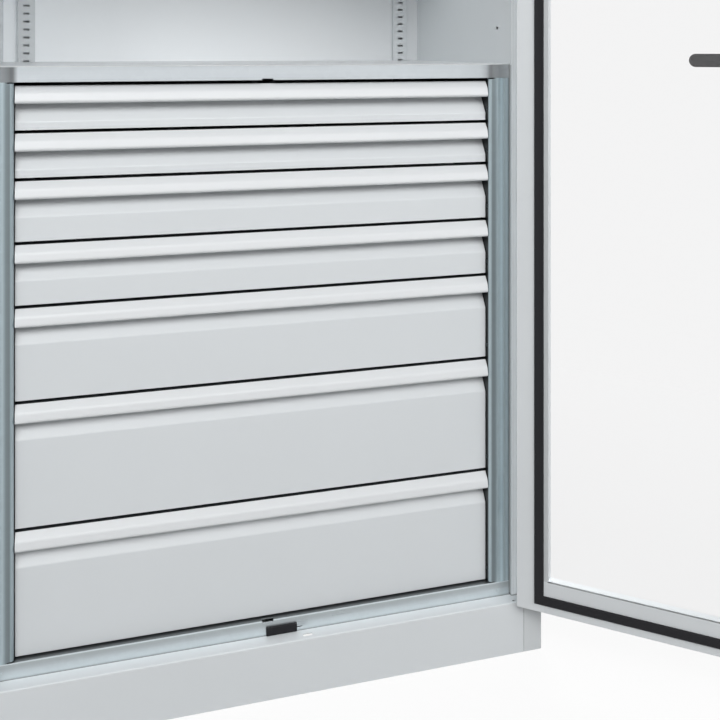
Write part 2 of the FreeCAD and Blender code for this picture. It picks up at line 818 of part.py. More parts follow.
def drawer_grip(name, top):
    """Full-width handle strip: a slanted, gently curved lip with room for fingers behind it."""
    face = faceY
    wall = s.gripWall
    back = face + s.recessDeep
    high = top - s.frontGap
    low = high - s.gripHigh
    full = high - s.gripFull
    outer = [
        (back, low),
        (back, high),
        (face - s.gripTopProud, high, s.gripCurve),
        (face - s.gripProud, full, s.gripCurl),
        (face - s.gripProud + s.gripTuck, low),
    ]
    inner = [
        (back - wall, low - wall),
        (back - wall, high - wall),
        (face - s.gripTopProud + wall, high - wall),
        (face - s.gripProud + wall, full, s.gripCurl - wall),
        (face - s.gripProud + s.gripTuck, full - s.gripCurl + wall),
        (face - s.gripProud + s.gripTuck, low - wall),
    ]
    body = extrusion(name, "YZ_Plane", outer, -frontHalf, frontHalf * 2)
    hollow(body, "YZ_Plane", inner, s.gripCap, (frontHalf - s.gripCap) * 2)
    keep(name, body)


def drawer_tray(name, top, pitch):
    """Open tray with the two flanges of its running rail on each side."""
    wall = s.traySkin
    low = top - pitch + s.trayBottom
    high = top - s.trayTop
    run = top - pitch + s.runnerLift
    shell = block(
        name + "_shell",
        (-trayHalf, trayHalf),
        (rimY, rimY + trayDeep),
        (low, high),
    )
    room = block(
        name + "_room",
        (-trayHalf + wall, trayHalf - wall),
        (rimY + wall, rimY + trayDeep - wall),
        (low + wall, high + wall),
    )
    pieces = [cut(name + "_pan", shell, [room])]
    for word, side in sides.items():
        for level, z in (("under", run), ("over", run + s.runnerHigh - s.runnerWall)):
            pieces.append(
                block(
                    f"{name}_rail_{word}_{level}",
                    mirrored(side, trayHalf - wall / 2, trayHalf + s.trayRailDeep),
                    (runnerY, rimY + trayDeep),
                    (z, z + s.runnerWall),
                )
            )
    keep(name, fuse(name, pieces))


def fixed_runner(number, word, side, top, pitch):
    """Channel on the housing wall, open towards the drawer."""
    low = top - pitch + s.runnerLift
    base = bayHalf
    rail = block(
        f"fixed_{number}_{word}_bar",
        mirrored(side, base - s.runnerDeep, base),
        (runnerY, runnerY + runnerLong),
        (low, low + s.runnerHigh),
    )
    groove = block(
        f"fixed_{number}_{word}_groove",
        mirrored(side, base - s.runnerDeep - s.runnerWall, base - s.runnerWall),
        (runnerY - s.runnerWall, runnerY + runnerLong + s.runnerWall),
        (low + s.runnerWall, low + s.runnerHigh - s.runnerWall),
    )
    return cut(f"fixed_{number}_{word}", rail, [groove])


def slide_member(number, word, side, top, pitch):
    """Middle member: runs in the fixed channel and carries the tray's rail."""
    low = top - pitch + s.runnerLift + s.runnerWall + s.runnerPlay
    high = top - pitch + s.runnerLift + s.runnerHigh - s.runnerWall - s.runnerPlay
    bar = block(
        f"slide_{number}_{word}_bar",
        mirrored(side, trayHalf + s.runnerPlay, bayHalf - s.runnerWall - s.runnerPlay),
        (runnerY, runnerY + slideLong),
        (low, high),
    )
    middle = (trayHalf + bayHalf) / 2
    channels = []
    for level, near, far in (("in", trayHalf, middle - s.runnerWall), ("out", middle, bayHalf)):
        channels.append(
            block(
                f"slide_{number}_{word}_{level}",
                mirrored(side, near, far),
                (runnerY - s.runnerWall, runnerY + slideLong + s.runnerWall),
                (low + s.runnerWall, high - s.runnerWall),
            )
        )
    return cut(f"slide_{number}_{word}", bar, channels)


fixed = []
for number, (top, pitch) in enumerate(stack, start=1):
    drawer_front(f"drawer_{number}_front", top, pitch)
    drawer_grip(f"drawer_{number}_grip", top)
    drawer_tray(f"drawer_{number}_tray", top, pitch)
    members = [slide_member(number, word, side, top, pitch) for word, side in sides.items()]
    keep(f"drawer_{number}_slides", group(f"drawer_{number}_slides", members))
    for word, side in sides.items():
        fixed.append(fixed_runner(number, word, side, top, pitch))
keep("fixed_runners", group("fixed_runners", fixed))


# Upper compartment: slotted uprights at the back, clips and two loose shelves.
def upright(word, side):
    """Channel on the back panel with a column of slots in its face."""
    low, high = mirrored(
        side, uprightX - s.uprightWide / 2, uprightX + s.uprightWide / 2
    )
    plan = [
        (low, uprightFront),
        (high, uprightFront),
        (high, backY),
        (high - s.skin, backY),
        (high - s.skin, uprightFront + s.skin),
        (low + s.skin, uprightFront + s.skin),
        (low + s.skin, backY),
        (low, backY),
    ]
    channel = extrusion(f"upright_{word}_fold", "XY_Plane", plan, shelfZ, ceilingZ - shelfZ)
    slots = []
    for step in range(upright_slot_count + 1):
        z = slotZ + s.slotPitch * step
        slots.append(
            block(
                f"upright_{word}_slot_{step}",
                mirrored(side, uprightX - s.slotWide / 2, uprightX + s.slotWide / 2),
                (uprightFront - s.skin, uprightFront + s.skin * 2),
                (z, z + s.slotHigh),
            )
        )
    return cut(f"upright_{word}", channel, slots)


def shelf_seat(height):
    """Top of the clips that carry a loose shelf by the edges of its folded rim: they sit in the
    liner's slots that lie nearest to the wanted height over the fixed shelf."""
    step = max(1, round(height.value / s.frontSlotPitch.value))
    return slotZ + s.frontSlotPitch * step + s.clipThick


def shelf(name, height):
    """Loose shelf: a sheet with all four edges folded down."""
    seat = shelf_seat(height)
    half = linerHalf - s.shelfSide
    front = s.shelfSetback
    back = uprightFront - s.shelfSide
    blank = block(name + "_blank", (-half, half), (front, back), (seat, seat + s.shelfLip))
    under = block(
        name + "_under",
        (-half + s.shelfSkin, half - s.shelfSkin),
        (front + s.shelfSkin, back - s.shelfSkin),
        (seat - s.shelfSkin, seat + s.shelfLip - s.shelfSkin),
    )
    keep(name, cut(name, blank, [under]))


def shelf_clips():
    """Angle clips: a tongue in the slot and a shelf seat in front of it."""
    clips = []
    for level, height in (("lower", s.shelfLowerUp), ("upper", s.shelfUpperUp)):
        top = shelf_seat(height)
        low = top - s.clipThick
        seat = s.slotWide - 2 * s.clipPlay
        for word, side in sides.items():
            back_x = mirrored(side, uprightX - seat / 2, uprightX + seat / 2)
            clips.append(
                block(
                    f"clip_{level}_{word}_back",
                    back_x,
                    (uprightFront - s.clipLong, uprightFront + s.clipPegDeep),
                    (low, top),
                )
            )
            start = s.frontSlotY + s.clipPlay
            clips.append(
                block(
                    f"clip_{level}_{word}_front",
                    mirrored(side, linerHalf - s.clipLong, linerHalf + s.clipPegDeep),
                    (start, start + seat),
                    (low, top),
                )
            )
    keep("shelf_clips", group("shelf_clips", clips))


uprights = [upright(word, side) for word, side in sides.items()]
keep("rear_uprights", group("rear_uprights", uprights))
shelf("shelf_lower", s.shelfLowerUp)
shelf("shelf_upper", s.shelfUpperUp)
shelf_clips()


# Doors. Each piece is drawn as if its door were shut, measured from the hinge axis, and its
# placement then swings it open about that axis.
doorLow = s.plinthHigh + s.doorGap
doorHigh = ceilingZ - s.doorGap
doorEdge = jambHalf - s.doorSide
doorBack = doorFront + s.doorThick
windowHinge = doorEdge - s.stileHinge
windowFree = doorFree + s.stileLock
windowLow = doorLow + s.doorRailLow
windowHigh = doorHigh - s.doorRailTop
paneFront = doorFront + s.paneInset
hinge_levels = {
    "low": doorLow + s.hingeEnd,
    "middle": (doorLow + doorHigh) / 2,
    "high": doorHigh - s.hingeEnd,
}


def from_hinge(side, x, y):
    """Limits along X and Y of a shut door's piece, measured from its hinge axis."""
    low, high = mirrored(side, x[0], x[1])
    return (low - hingeX * side, high - hingeX * side), (y[0] - s.hingeY, y[1] - s.hingeY)


def door_block(name, side, x, y, z):
    local_x, local_y = from_hinge(side, x, y)
    return block(name, local_x, local_y, z)


def swing(thing, side):
    """Carry a door's piece to its hinge axis and turn it open."""
    return place(thing, hingeX * side, s.hingeY, None, s.doorOpenAngle * side)


def ring(name, side, outer_x, y, outer_z, inner_x, inner_z):
    """Rectangular frame: one block with another cut through it."""
    outer = door_block(name + "_outer", side, outer_x, y, outer_z)
    through = (y[0] - s.skin, y[1] + s.skin)
    inner = door_block(name + "_inner", side, inner_x, through, inner_z)
    return cut(name + "_ring", outer, [inner])


def door_frame(name, side):
    """Hollow frame round the window, with a groove for the pane and knuckles on its edge."""
    wall = s.doorSkin
    window_x, window_z = (windowFree, windowHinge), (windowLow, windowHigh)
    solid = ring(
        name,
        side,
        (doorFree, doorEdge),
        (doorFront, doorBack),
        (doorLow, doorHigh),
        window_x,
        window_z,
    )
    inside_outer = door_block(
        name + "_inside_outer",
        side,
        (doorFree + wall, doorEdge - wall),
        (doorFront + wall, doorBack - wall),
        (doorLow + wall, doorHigh - wall),
    )
    inside_inner = door_block(
        name + "_inside_inner",
        side,
        (windowFree - wall, windowHinge + wall),
        (doorFront, doorBack),
        (windowLow - wall, windowHigh + wall),
    )
    inside = cut(name + "_inside", inside_outer, [inside_inner])
    cover = s.paneCover + s.paneClear
    groove = door_block(
        name + "_groove",
        side,
        (windowFree - cover, windowHinge + cover),
        (paneFront - s.paneClear, paneFront + s.paneThick + s.paneClear),
        (windowLow - cover, windowHigh + cover),
    )
    cuts = [inside, groove]
    for word, end in (("bottom", doorLow), ("top", doorHigh)):
        cuts.append(
            door_block(
                f"{name}_rod_slot_{word}",
                side,
                (rodX - s.rodSlotWide / 2, rodX + s.rodSlotWide / 2),
                (rodY - s.rodSlotDeep / 2, rodY + s.rodSlotDeep / 2),
                (end - wall * 1.5, end + wall * 1.5),
            )
        )
    room = s.knuckleRad + s.hingeCut
    third = s.hingeLong / 3
    for level, middle in hinge_levels.items():
        spots = (("under", middle - third * 1.5 - s.hingeCut), ("over", middle + third / 2))
        for word, low in spots:
            cuts.append(
                door_block(
                    f"{name}_notch_{level}_{word}",
                    side,
                    (hingeX - room, doorEdge + s.skin),
                    (doorFront - s.skin, s.hingeY + room),
                    (low, low + third + s.hingeCut),
                )
            )
    if side > 0:
        for word, drop, radius in (
            ("spindle", as_size(0), s.spindleRad),
            ("cylinder", s.cylinderDrop, s.cylinderRad),
        ):
            bore = rod(
                f"{name}_{word}_bore",
                radius + s.sheetRoom,
                wall * 3,
                (rodX - hingeX, doorFront - wall - s.hingeY, s.handleZ - drop),
                "y",
            )
            cuts.append(bore)
    frame = cut(name + "_shell", solid, cuts)
    knuckles, bores = [], []
    for level, middle in hinge_levels.items():
        low = middle - third / 2 + s.hingeCut
        knuckles.append(
            rod(f"{name}_knuckle_{level}", s.knuckleRad, third - s.hingeCut * 2, (0, 0, low))
        )
        bores.append(
            rod(
                f"{name}_bore_{level}",
                s.hingePinRad + s.hingePlay,
                s.hingeLong + s.skin * 2,
                (0, 0, middle - s.hingeLong / 2 - s.skin),
            )
        )
    joined = fuse(name + "_with_knuckles", [frame] + knuckles)
    keep(name, swing(cut(name, joined, bores), side))


def door_pane(name, side):
    pane = door_block(
        name,
        side,
        (windowFree - s.paneCover, windowHinge + s.paneCover),
        (paneFront, paneFront + s.paneThick),
        (windowLow - s.paneCover, windowHigh + s.paneCover),
    )
    keep(name, swing(group(name + "_in_place", [pane]), side))


def door_gasket(name, side):
    """Soft seal round the window on the inner face."""
    wide = s.gasketWide
    outer_x = (doorFree + s.gasketLock, doorEdge - s.gasketSide)
    outer_z = (doorLow + s.gasketEnd, doorHigh - s.gasketEnd)
    seal = ring(
        name,
        side,
        outer_x,
        (doorBack, doorBack + s.gasketThick),
        outer_z,
        (outer_x[0] + wide, outer_x[1] - wide),
        (outer_z[0] + wide, outer_z[1] - wide),
    )
    keep(name, swing(group(name + "_in_place", [seal]), side))


def hinge_parts():
    """Leaves with two knuckles each on the jambs, and the pins through all the knuckles."""
    leaves, pins = [], []
    third = s.hingeLong / 3
    for word, side in sides.items():
        for level, middle in hinge_levels.items():
            tag = f"{word}_{level}"
            low = middle - s.hingeLong / 2
            leaf = block(
                f"leaf_{tag}_plate",
                mirrored(side, jambHalf - s.skin, jambHalf),
                (s.knuckleRad + s.hingeCut, s.knuckleRad + s.leafWide),
                (low, low + s.hingeLong),
            )
            pieces = [leaf]
            bores = []
            for spot, start in (("under", low), ("over", low + third * 2)):
                pieces.append(
                    rod(
                        f"leaf_{tag}_knuckle_{spot}",
                        s.knuckleRad,
                        third,
                        (hingeX * side, s.hingeY, start),
                    )
                )
                pieces.append(
                    block(
                        f"leaf_{tag}_arm_{spot}",
                        mirrored(side, jambHalf - s.skin, jambHalf),
                        (s.hingeY, s.knuckleRad + s.skin),
                        (start, start + third),
                    )
                )
            bores.append(
                rod(
                    f"leaf_{tag}_bore",
                    s.hingePinRad + s.hingePlay,
                    s.hingeLong + s.skin * 2,
                    (hingeX * side, s.hingeY, low - s.skin),
                )
            )
            leaves.append(cut(f"leaf_{tag}", fuse(f"leaf_{tag}_all", pieces), bores))
            pins.append(
                rod(
                    f"pin_{tag}",
                    s.hingePinRad,
                    s.hingeLong,
                    (hingeX * side, s.hingeY, low),
                )
            )
    keep("hinge_leaves", group("hinge_leaves", leaves))
    keep("hinge_pins", group("hinge_pins", pins))


for word, side in sides.items():
    door_frame(f"door_{word}_frame", side)
    door_pane(f"door_{word}_pane", side)
    door_gasket(f"door_{word}_gasket", side)
hinge_parts()


# Lock on the right door: handle plate, lever with its spindle, key cylinder, lock case, two rods.
lockX = rodX - hingeX
plateFront = doorFront - s.plateThick
caseLow = s.handleZ - s.plateDrop - s.caseHigh / 2
caseHighZ = caseLow + s.caseHigh


def lock_bores(name, start, length):
    """Bores for the spindle and the key cylinder."""
    return [
        rod(
            f"{name}_{word}_bore",
            radius + s.spindlePlay,
            length,
            (lockX, start - s.hingeY, s.handleZ - drop),
            "y",
        )
        for word, drop, radius in (
            ("spindle", as_size(0), s.spindleRad),
            ("cylinder", s.cylinderDrop, s.cylinderRad),
        )
    ]


def lock_plate():
    middle = s.handleZ - s.plateDrop
    plate = door_block(
        "lock_plate_blank",
        1,
        (rodX - s.plateWide / 2, rodX + s.plateWide / 2),
        (plateFront, doorFront),
        (middle - s.plateHigh / 2, middle + s.plateHigh / 2),
    )
    bores = lock_bores("lock_plate", plateFront - s.skin, s.plateThick + s.skin * 2)
    keep("lock_plate", swing(cut("lock_plate", plate, bores), 1))


def lock_case():
    """Gear case inside the stile; the rods start at its ends."""
    half = windowFree - s.paneCover - s.caseClear - rodX
    case = door_block(
        "lock_case_blank",
        1,
        (rodX - half, rodX + half),
        (doorFront + s.doorSkin, doorBack - s.doorSkin),
        (caseLow, caseHighZ),
    )
    bores = lock_bores("lock_case", doorFront, s.doorThick - s.doorSkin * 2)
    keep("lock_case", swing(cut("lock_case", case, bores), 1))


def lock_lever():
    """Lever that lies level when unlocked, on a hub and spindle."""
    lever_back = plateFront - s.leverOff
    lever_front = lever_back - s.leverThick
    arm = door_block(
        "lever_arm",
        1,
        (rodX, rodX + s.leverLong - s.leverWide / 2),
        (lever_front, lever_back),
        (s.handleZ - s.leverWide / 2, s.handleZ + s.leverWide / 2),
    )
    tip = rod(
        "lever_tip",
        s.leverWide / 2,
        s.leverThick,
        (lockX + s.leverLong - s.leverWide / 2, lever_front - s.hingeY, s.handleZ),
        "y",
    )
    hub_long = s.leverThick + s.leverOff - s.hubClear
    hub = rod("lever_hub", s.hubRad, hub_long, (lockX, lever_front - s.hingeY, s.handleZ), "y")
    spindle_long = s.leverThick + s.leverOff + s.plateThick + s.doorThick / 2
    spindle = rod(
        "lever_spindle", s.spindleRad, spindle_long, (lockX, lever_front - s.hingeY, s.handleZ), "y"
    )
    keep("lock_lever", swing(fuse("lock_lever", [arm, tip, hub, spindle]), 1))


def lock_cylinder():
    """Key cylinder with a key slot in its face."""
    start = plateFront - s.cylinderProud
    centre_z = s.handleZ - s.cylinderDrop
    long = s.cylinderProud + s.plateThick + s.doorThick / 2
    barrel = rod("cylinder_barrel", s.cylinderRad, long, (lockX, start - s.hingeY, centre_z), "y")
    key_slot = door_block(
        "cylinder_key_slot",
        1,
        (rodX - s.keyThick / 2, rodX + s.keyThick / 2),
        (start - s.skin, start + s.keyDeep),
        (centre_z - s.keyWide / 2, centre_z + s.keyWide / 2),
    )
    keep("lock_cylinder", swing(cut("lock_cylinder", barrel, [key_slot]), 1))


def lock_rod(name, low, high):
    """Flat bar in the stile, between the lock case and the door's end."""
    bar = door_block(
        name + "_bar",
        1,
        (rodX - s.rodWide / 2, rodX + s.rodWide / 2),
        (rodY - s.rodThick / 2, rodY + s.rodThick / 2),
        (low, high),
    )
    keep(name, swing(group(name, [bar]), 1))


lock_plate()
lock_case()
lock_lever()
lock_cylinder()
lock_rod("lock_rod_lower", doorLow + s.rodHide, caseLow)
lock_rod("lock_rod_upper", caseHighZ, doorHigh - s.rodHide)

doc.recompute()

for thing in doc.Objects:
    if "Invalid" in thing.State or "Error" in thing.State:
        raise RuntimeError(f"{thing.Label} did not build: {thing.State}")
for label, thing in parts.items():
    if thing.Shape.isNull() or not thing.Shape.isValid():
        raise RuntimeError(f"{label} has no valid shape")

os.makedirs("parts", exist_ok=True)
for label, thing in parts.items():
    thing.Shape.exportStep(f"parts/{label}.step")
print(f"{len(parts)} sub-parts written")
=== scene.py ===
import math
import bmesh
import bpy
from mathutils import Matrix, Vector


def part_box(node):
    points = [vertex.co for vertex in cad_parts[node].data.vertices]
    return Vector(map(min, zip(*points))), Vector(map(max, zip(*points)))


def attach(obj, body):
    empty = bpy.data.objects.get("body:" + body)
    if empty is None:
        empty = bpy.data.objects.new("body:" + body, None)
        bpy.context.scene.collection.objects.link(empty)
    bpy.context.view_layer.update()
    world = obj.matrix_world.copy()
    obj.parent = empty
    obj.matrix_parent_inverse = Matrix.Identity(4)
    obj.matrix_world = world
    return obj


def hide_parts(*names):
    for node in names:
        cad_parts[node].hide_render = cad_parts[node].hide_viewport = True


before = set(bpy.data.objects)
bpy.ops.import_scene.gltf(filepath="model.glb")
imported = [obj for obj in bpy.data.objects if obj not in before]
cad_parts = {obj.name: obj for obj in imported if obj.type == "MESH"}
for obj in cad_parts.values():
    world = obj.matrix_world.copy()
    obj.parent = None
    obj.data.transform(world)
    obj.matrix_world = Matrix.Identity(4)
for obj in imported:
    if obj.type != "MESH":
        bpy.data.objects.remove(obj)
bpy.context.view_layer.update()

scene = bpy.context.scene
mm = 0.001  # lengths in the dictionaries are millimetres, unless their note says metres
print("frame loaded:", len(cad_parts), "nodes")


# The camera is level, so uprights stay parallel, and its frame is shifted down.
cameraValues = {
    "place": (-0.333, -1.6147, 1.072),  # metres
    "headingDegrees": -16.72,
    "lens": 50,
    "sensor": 36,
    "shiftUp": -0.4345,
    "nearest": 0.01,  # metres
}


def addCamera(values):
    data = bpy.data.cameras.new("camera")
    data.lens = values["lens"]
    data.sensor_width = values["sensor"]
    data.shift_y = values["shiftUp"]
    data.clip_start = values["nearest"]
    camera = bpy.data.objects.new("camera", data)
    camera.location = values["place"]
    camera.rotation_euler = (math.radians(90), 0, math.radians(values["headingDegrees"]))
    scene.collection.objects.link(camera)
    scene.camera = camera


addCamera(cameraValues)


def addNode(tree, kind, **settings):
    # in_Some_Name sets the socket "Some Name", any other word the node's own setting
    node = tree.nodes.new(kind)
    for key, value in settings.items():
        if key.startswith("in_"):
            node.inputs[key[3:].replace("_", " ")].default_value = value
        else:
            setattr(node, key, value)
    return node


def wire(tree, source, output, target, entry):
    tree.links.new(source.outputs[output], target.inputs[entry])


def newMaterial(name):
    material = bpy.data.materials.new(name)
    material.use_nodes = True
    tree = material.node_tree
    return material, tree, tree.nodes["Principled BSDF"]


def newGroup(name, numbersIn, outputs):
    group = bpy.data.node_groups.new(name, "ShaderNodeTree")
    group.interface.new_socket("Vector", in_out="INPUT", socket_type="NodeSocketVector")
    for label, value in numbersIn.items():
        socket = group.interface.new_socket(label, in_out="INPUT", socket_type="NodeSocketFloat")
        socket.default_value = value
    for label in outputs:
        group.interface.new_socket(label, in_out="OUTPUT", socket_type="NodeSocketFloat")
    return group, addNode(group, "NodeGroupInput"), addNode(group, "NodeGroupOutput")


def mathNode(tree, operation, first, second):
    node = addNode(tree, "ShaderNodeMath", operation=operation)
    for entry, value in enumerate((first, second)):
        if isinstance(value, (int, float)):
            node.inputs[entry].default_value = value
        else:
            tree.links.new(value, node.inputs[entry])
    return node.outputs[0]


def noiseAboutZero(tree, vector, scale, detail):
    node = addNode(tree, "ShaderNodeTexNoise", in_Scale=scale, in_Detail=detail)
    tree.links.new(vector, node.inputs["Vector"])
    return mathNode(tree, "SUBTRACT", node.outputs["Fac"], 0.5)


def sumAboutOne(tree, first, second):
    return mathNode(tree, "ADD", mathNode(tree, "ADD", first, second), 1.0)


# Powder coat: soft clouds of tone, fine orange peel.
coatValues = {
    "sockets": {"Cloud": 0.03, "Peel": 520.0, "Rough": 0.42},
    "cloudScale": 5.0,
    "cloudDetail": 3.0,
    "grainScale": 1400.0,
    "grainDetail": 1.0,
    "grainShare": 0.02,
    "peelDetail": 1.5,
    "roughSwing": 0.12,  # how far the clouds move the roughness
}
finishOutputs = ("Tone", "Roughness", "Height")


def coatGroup(values):
    group, entry, leave = newGroup("coatFinish", values["sockets"], finishOutputs)
    vector = entry.outputs["Vector"]
    cloud = noiseAboutZero(group, vector, values["cloudScale"], values["cloudDetail"])
    fine = noiseAboutZero(group, vector, values["grainScale"], values["grainDetail"])
    tone = mathNode(group, "MULTIPLY", cloud, entry.outputs["Cloud"])
    grain = mathNode(group, "MULTIPLY", fine, values["grainShare"])
    group.links.new(sumAboutOne(group, tone, grain), leave.inputs["Tone"])
    swing = mathNode(group, "MULTIPLY", cloud, values["roughSwing"])
    rough = mathNode(group, "ADD", swing, entry.outputs["Rough"])
    group.links.new(rough, leave.inputs["Roughness"])
    peel = addNode(group, "ShaderNodeTexNoise", in_Detail=values["peelDetail"])
    group.links.new(vector, peel.inputs["Vector"])
    wire(group, entry, "Peel", peel, "Scale")
    wire(group, peel, "Fac", leave, "Height")
    return group


# Bare sheet: rolling streaks along one direction, faint zinc spangle.
rolledValues = {
    "sockets": {"Streak": 0.08, "Spangle": 0.03, "Rough": 0.3},
    "wideScale": 1.0,
    "wideDetail": 2.0,
    "thinScale": 6.0,
    "thinDetail": 3.0,
    "thinShare": 0.6,
    "spangleScale": 110.0,
    "roughSwing": 0.15,
}


def sheetGroup(values):
    group, entry, leave = newGroup("rolledSheet", values["sockets"], finishOutputs)
    vector = entry.outputs["Vector"]
    wide = noiseAboutZero(group, vector, values["wideScale"], values["wideDetail"])
    thin = noiseAboutZero(group, vector, values["thinScale"], values["thinDetail"])
    streak = mathNode(group, "ADD", wide, mathNode(group, "MULTIPLY", thin, values["thinShare"]))
    place = addNode(group, "ShaderNodeTexCoord")
    cells = addNode(group, "ShaderNodeTexVoronoi", in_Scale=values["spangleScale"])
    wire(group, place, "Object", cells, "Vector")
    split = addNode(group, "ShaderNodeSeparateColor")
    wire(group, cells, "Color", split, "Color")
    spangle = mathNode(group, "SUBTRACT", split.outputs["Red"], 0.5)
    tone = mathNode(group, "MULTIPLY", streak, entry.outputs["Streak"])
    mottled = mathNode(group, "MULTIPLY", spangle, entry.outputs["Spangle"])
    group.links.new(sumAboutOne(group, tone, mottled), leave.inputs["Tone"])
    swing = mathNode(group, "MULTIPLY", streak, values["roughSwing"])
    rough = mathNode(group, "ADD", swing, entry.outputs["Rough"])
    group.links.new(rough, leave.inputs["Roughness"])
    group.links.new(thin, leave.inputs["Height"])
    return group


def mixShaders(tree, share, first, second):
    # share is how much of the second shader shows
    mix = addNode(tree, "ShaderNodeMixShader")
    tree.links.new(share, mix.inputs[0])
    tree.links.new(first.outputs[0], mix.inputs[1])
    tree.links.new(second.outputs[0], mix.inputs[2])
    tree.links.new(mix.outputs[0], tree.nodes["Material Output"].inputs[0])


coatFinish = coatGroup(coatValues)
rolledSheet = sheetGroup(rolledValues)
bumpStrength = 0.6


def finishWith(tree, shader, group, sockets, colour, bumpDepth, stretch=(1, 1, 1)):
    # the group's Tone scales the colour, its Height feeds a fine bump
    place = addNode(tree, "ShaderNodeTexCoord")
    mapping = addNode(tree, "ShaderNodeMapping", in_Scale=stretch)
    wire(tree, place, "Object", mapping, "Vector")
    finish = addNode(tree, "ShaderNodeGroup", node_tree=group)
    wire(tree, mapping, "Vector", finish, "Vector")
    for label, value in sockets.items():
        finish.inputs[label].default_value = value
    tint = addNode(tree, "ShaderNodeVectorMath", operation="SCALE")
    tint.inputs[0].default_value = colour
    wire(tree, finish, "Tone", tint, "Scale")
    wire(tree, tint, "Vector", shader, "Base Color")
    wire(tree, finish, "Roughness", shader, "Roughness")
    bump = addNode(tree, "ShaderNodeBump", in_Distance=bumpDepth * mm, in_Strength=bumpStrength)
    wire(tree, finish, "Height", bump, "Height")
    wire(tree, bump, "Normal", shader, "Normal")


# One powder coat in several copies: their colours differ as painted light and shade, with the
# back wall and shelf painted lighter and the sill darker.
paintValues = {
    "carcassPaint": {"colour": (0.620, 0.648, 0.662), "rough": 0.40, "cloud": 0.035},
    "sidePaint": {"colour": (0.620, 0.648, 0.662), "rough": 0.40, "cloud": 0.035},
    "sillPaint": {"colour": (0.596, 0.622, 0.638), "rough": 0.40, "cloud": 0.03},
    "wallPaint": {"colour": (0.776, 0.800, 0.818), "rough": 0.40, "cloud": 0.03},
    "shelfPaint": {"colour": (0.740, 0.762, 0.776), "rough": 0.40, "cloud": 0.03},
    "doorPaint": {"colour": (0.612, 0.636, 0.651), "rough": 0.40, "cloud": 0.03},
    "drawerPaint": {"colour": (0.591, 0.616, 0.632), "rough": 0.42, "cloud": 0.03},
    "gripPaint": {"colour": (0.615, 0.632, 0.645), "rough": 0.36, "cloud": 0.02},
    "trayPaint": {"colour": (0.585, 0.612, 0.628), "rough": 0.45, "cloud": 0.04},
}
# railSheet, lowRailSheet and postSheet are one galvanised sheet: the lower rail's copy is painted
# lighter and the posts' copy darker, as painted reflection.
sheetValues = {
    "railSheet": {
        "colour": (0.564, 0.606, 0.634),
        "rough": 0.36,
        "metallic": 0.3,
        "stretch": (4, 60, 160),
    },
    "lowRailSheet": {
        "colour": (0.580, 0.632, 0.655),
        "rough": 0.32,
        "metallic": 0.75,
        "stretch": (4, 60, 160),
    },
    "postSheet": {
        "colour": (0.300, 0.360, 0.385),
        "rough": 0.34,
        "metallic": 0.8,
        "stretch": (90, 90, 1.5),
    },
    "slideSteel": {
        "colour": (0.50, 0.52, 0.53),
        "rough": 0.34,
        "metallic": 0.9,
        "stretch": (60, 4, 60),
    },
    "lockChrome": {
        "colour": (0.7, 0.7, 0.71),
        "rough": 0.14,
        "metallic": 1.0,
        "stretch": (90, 90, 90),
    },
}
darkValues = {
    "blackRubber": {"colour": (0.012, 0.012, 0.014), "rough": 0.6, "grain": 900.0, "bump": 0.15},
    "blackPlastic": {"colour": (0.032, 0.032, 0.034), "rough": 0.4, "grain": 1500.0, "bump": 0.1},
    # painted shade: gapShade is near-black where the gap between drawers lies in shade
    "gapShade": {"colour": (0.018, 0.021, 0.024), "rough": 0.8, "grain": 900.0, "bump": 0.1},
}
# what all materials of a kind share
kindValues = {
    "paint": {"specular": 0.45, "bump": 0.06},
    "sheet": {"bump": 0.01},
    "dark": {"specular": 0.2, "cloud": 0.25},
}


def paint(name, values):
    kind = kindValues["paint"]
    material, tree, shader = newMaterial(name)
    shader.inputs["Specular IOR Level"].default_value = kind["specular"]
    sockets = {"Cloud": values["cloud"], "Rough": values["rough"]}
    finishWith(tree, shader, coatFinish, sockets, values["colour"], kind["bump"])
    return material


def sheetMetal(name, values):
    kind = kindValues["sheet"]
    material, tree, shader = newMaterial(name)
    shader.inputs["Metallic"].default_value = values["metallic"]
    sockets = {"Rough": values["rough"]}
    colour, stretch = values["colour"], values["stretch"]
    finishWith(tree, shader, rolledSheet, sockets, colour, kind["bump"], stretch)
    return material


def darkMaterial(name, values):
    kind = kindValues["dark"]
    material, tree, shader = newMaterial(name)
    shader.inputs["Specular IOR Level"].default_value = kind["specular"]
    sockets = {"Cloud": kind["cloud"], "Peel": values["grain"], "Rough": values["rough"]}
    finishWith(tree, shader, coatFinish, sockets, values["colour"], values["bump"])
    return material


paneValues = {
    "colour": (0.898, 0.898, 0.900, 1),
    "bending": 1.45,  # index of refraction
    "smearScale": 14.0,
    "smearDetail": 3.0,
    "smearRough": 0.02,
    "shadowColour": (0.93, 0.94, 0.94, 1),
}


def clearPane(name, values):
    material, tree, shader = newMaterial(name)
    shader.inputs["Base Color"].default_value = values["colour"]
    shader.inputs["Transmission Weight"].default_value = 1.0
    shader.inputs["IOR"].default_value = values["bending"]
    place = addNode(tree, "ShaderNodeTexCoord")
    smear = addNode(
        tree,
        "ShaderNodeTexNoise",
        in_Scale=values["smearScale"],
        in_Detail=values["smearDetail"],
    )
    wire(tree, place, "Object", smear, "Vector")
    spread = addNode(tree, "ShaderNodeMapRange", in_To_Min=0.0, in_To_Max=values["smearRough"])
    wire(tree, smear, "Fac", spread, "Value")
    wire(tree, spread, "Result", shader, "Roughness")
    # light passes through to the floor without caustics
    clear = addNode(tree, "ShaderNodeBsdfTransparent", in_Color=values["shadowColour"])
    rays = addNode(tree, "ShaderNodeLightPath").outputs
    either = mathNode(tree, "MAXIMUM", rays["Is Shadow Ray"], rays["Is Diffuse Ray"])
    mixShaders(tree, either, shader, clear)
    return material


